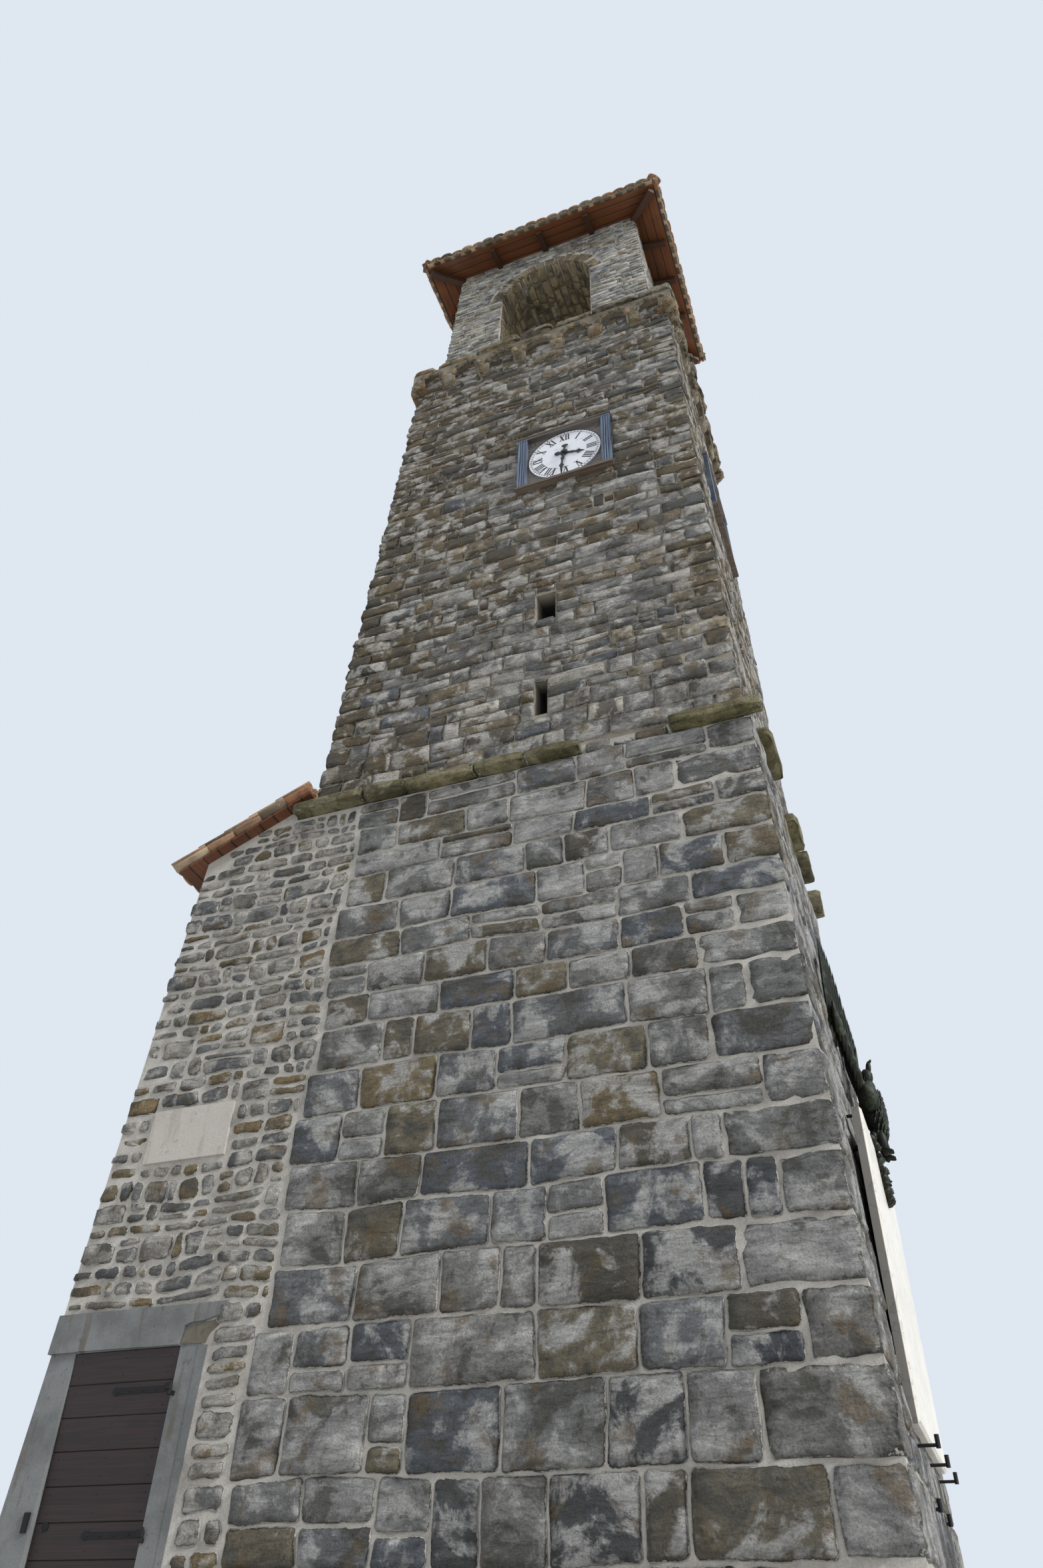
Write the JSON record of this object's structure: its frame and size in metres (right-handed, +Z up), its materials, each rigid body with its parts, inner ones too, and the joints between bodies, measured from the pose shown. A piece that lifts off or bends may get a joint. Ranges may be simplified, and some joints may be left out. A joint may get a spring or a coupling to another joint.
{
  "type": "clock tower",
  "caption": "Tapering stone clock tower with a corbelled cornice, an arched open belfry under a hipped tile roof, and a lean-to annex with a boarded door.",
  "frame": {"origin": "ground level under the middle of the square tower", "axes": "+Z up, -Y out of the front with the clock and the annex door, +X out of the right side with the marble tablet"},
  "size_m": [7.0609, 4.4556, 21.0642],
  "materials": {
    "ashlar_stone": "rough",
    "coursed_stone": "rough",
    "mossy_stone": "rough",
    "corbel_stone": "rough",
    "rubble_stone": "rough",
    "annex_stone": "rough",
    "floor_stone": "rough",
    "dressed_stone": "matte",
    "pale_marble": "satin",
    "plaque_plaster": "matte",
    "roof_timber": "matte",
    "roof_boarding": "matte",
    "clay_tile": "rough",
    "clock_frame_paint": "matte",
    "clock_dial_paint": "satin",
    "clock_hand_paint": "satin",
    "wrought_iron": "rough",
    "dark_bronze": "matte",
    "door_timber": "matte"
  },
  "bodies": {
    "tower": {"lower_front_wall": "ashlar_stone", "lower_back_wall": "ashlar_stone", "lower_side_walls": "ashlar_stone", "ground_floor": "floor_stone", "string_front": "mossy_stone", "string_right": "mossy_stone", "string_back": "mossy_stone", "mid_front_wall": "coursed_stone", "mid_back_wall": "coursed_stone", "mid_side_walls": "coursed_stone", "cornice_arches": "corbel_stone", "cornice_slabs": "mossy_stone", "belfry_floor": "floor_stone", "belfry_front_wall": "rubble_stone", "belfry_back_wall": "rubble_stone", "belfry_side_walls": "rubble_stone", "belfry_vault": "rubble_stone", "belfry_bars": "wrought_iron", "wall_plate": "roof_timber", "hip_rafters": "roof_timber", "common_rafters": "roof_timber", "roof_boards": "roof_boarding", "roof_tiles": "clay_tile", "hip_tiles": "clay_tile", "clock_frames": "clock_frame_paint", "clock_dials": "clock_dial_paint", "marble_tablet": "pale_marble", "tablet_irons": "wrought_iron", "bronze_eagle": "dark_bronze", "annex_front_wall": "annex_stone", "annex_left_wall": "annex_stone", "annex_back_wall": "annex_stone", "annex_plaque": "plaque_plaster", "door_jambs": "dressed_stone", "door_lintel": "dressed_stone", "door_sill": "dressed_stone", "door_pintles": "wrought_iron", "annex_rafters": "roof_timber", "annex_boards": "roof_boarding", "annex_tiles": "clay_tile"},
    "door": {"door_leaf": "door_timber", "door_straps": "wrought_iron"},
    "front_hour": {"front_hour_hand": "clock_hand_paint"},
    "front_minute": {"front_minute_hand": "clock_hand_paint"},
    "side_hour": {"side_hour_hand": "clock_hand_paint"},
    "side_minute": {"side_minute_hand": "clock_hand_paint"}
  },
  "joints": [
    {"name": "door_hinge", "type": "hinge", "parent": "tower", "child": "door", "pos_m": [-2.785, -2.21959, 1.2], "axis": [0, 0, 1], "range_deg": [0, 110]},
    {"name": "front_minute_turn", "type": "hinge", "parent": "tower", "child": "front_minute", "pos_m": [0.43, -1.71872, 13.02], "axis": [0, 0.9993, -0.0364], "continuous": true},
    {"name": "front_hour_turn", "type": "hinge", "parent": "tower", "child": "front_hour", "pos_m": [0.43, -1.71872, 13.02], "axis": [0, 0.9993, -0.0364], "continuous": true},
    {"name": "side_minute_turn", "type": "hinge", "parent": "tower", "child": "side_minute", "pos_m": [2.14751, 0, 13.02], "axis": [-0.9996, 0, -0.0276], "continuous": true},
    {"name": "side_hour_turn", "type": "hinge", "parent": "tower", "child": "side_hour", "pos_m": [2.14751, 0, 13.02], "axis": [-0.9996, 0, -0.0276], "continuous": true}
  ],
  "couplings": [
    {"joint": "front_hour_turn", "follows": "front_minute_turn", "ratio": 0.083333},
    {"joint": "side_hour_turn", "follows": "side_minute_turn", "ratio": 0.083333}
  ]
}
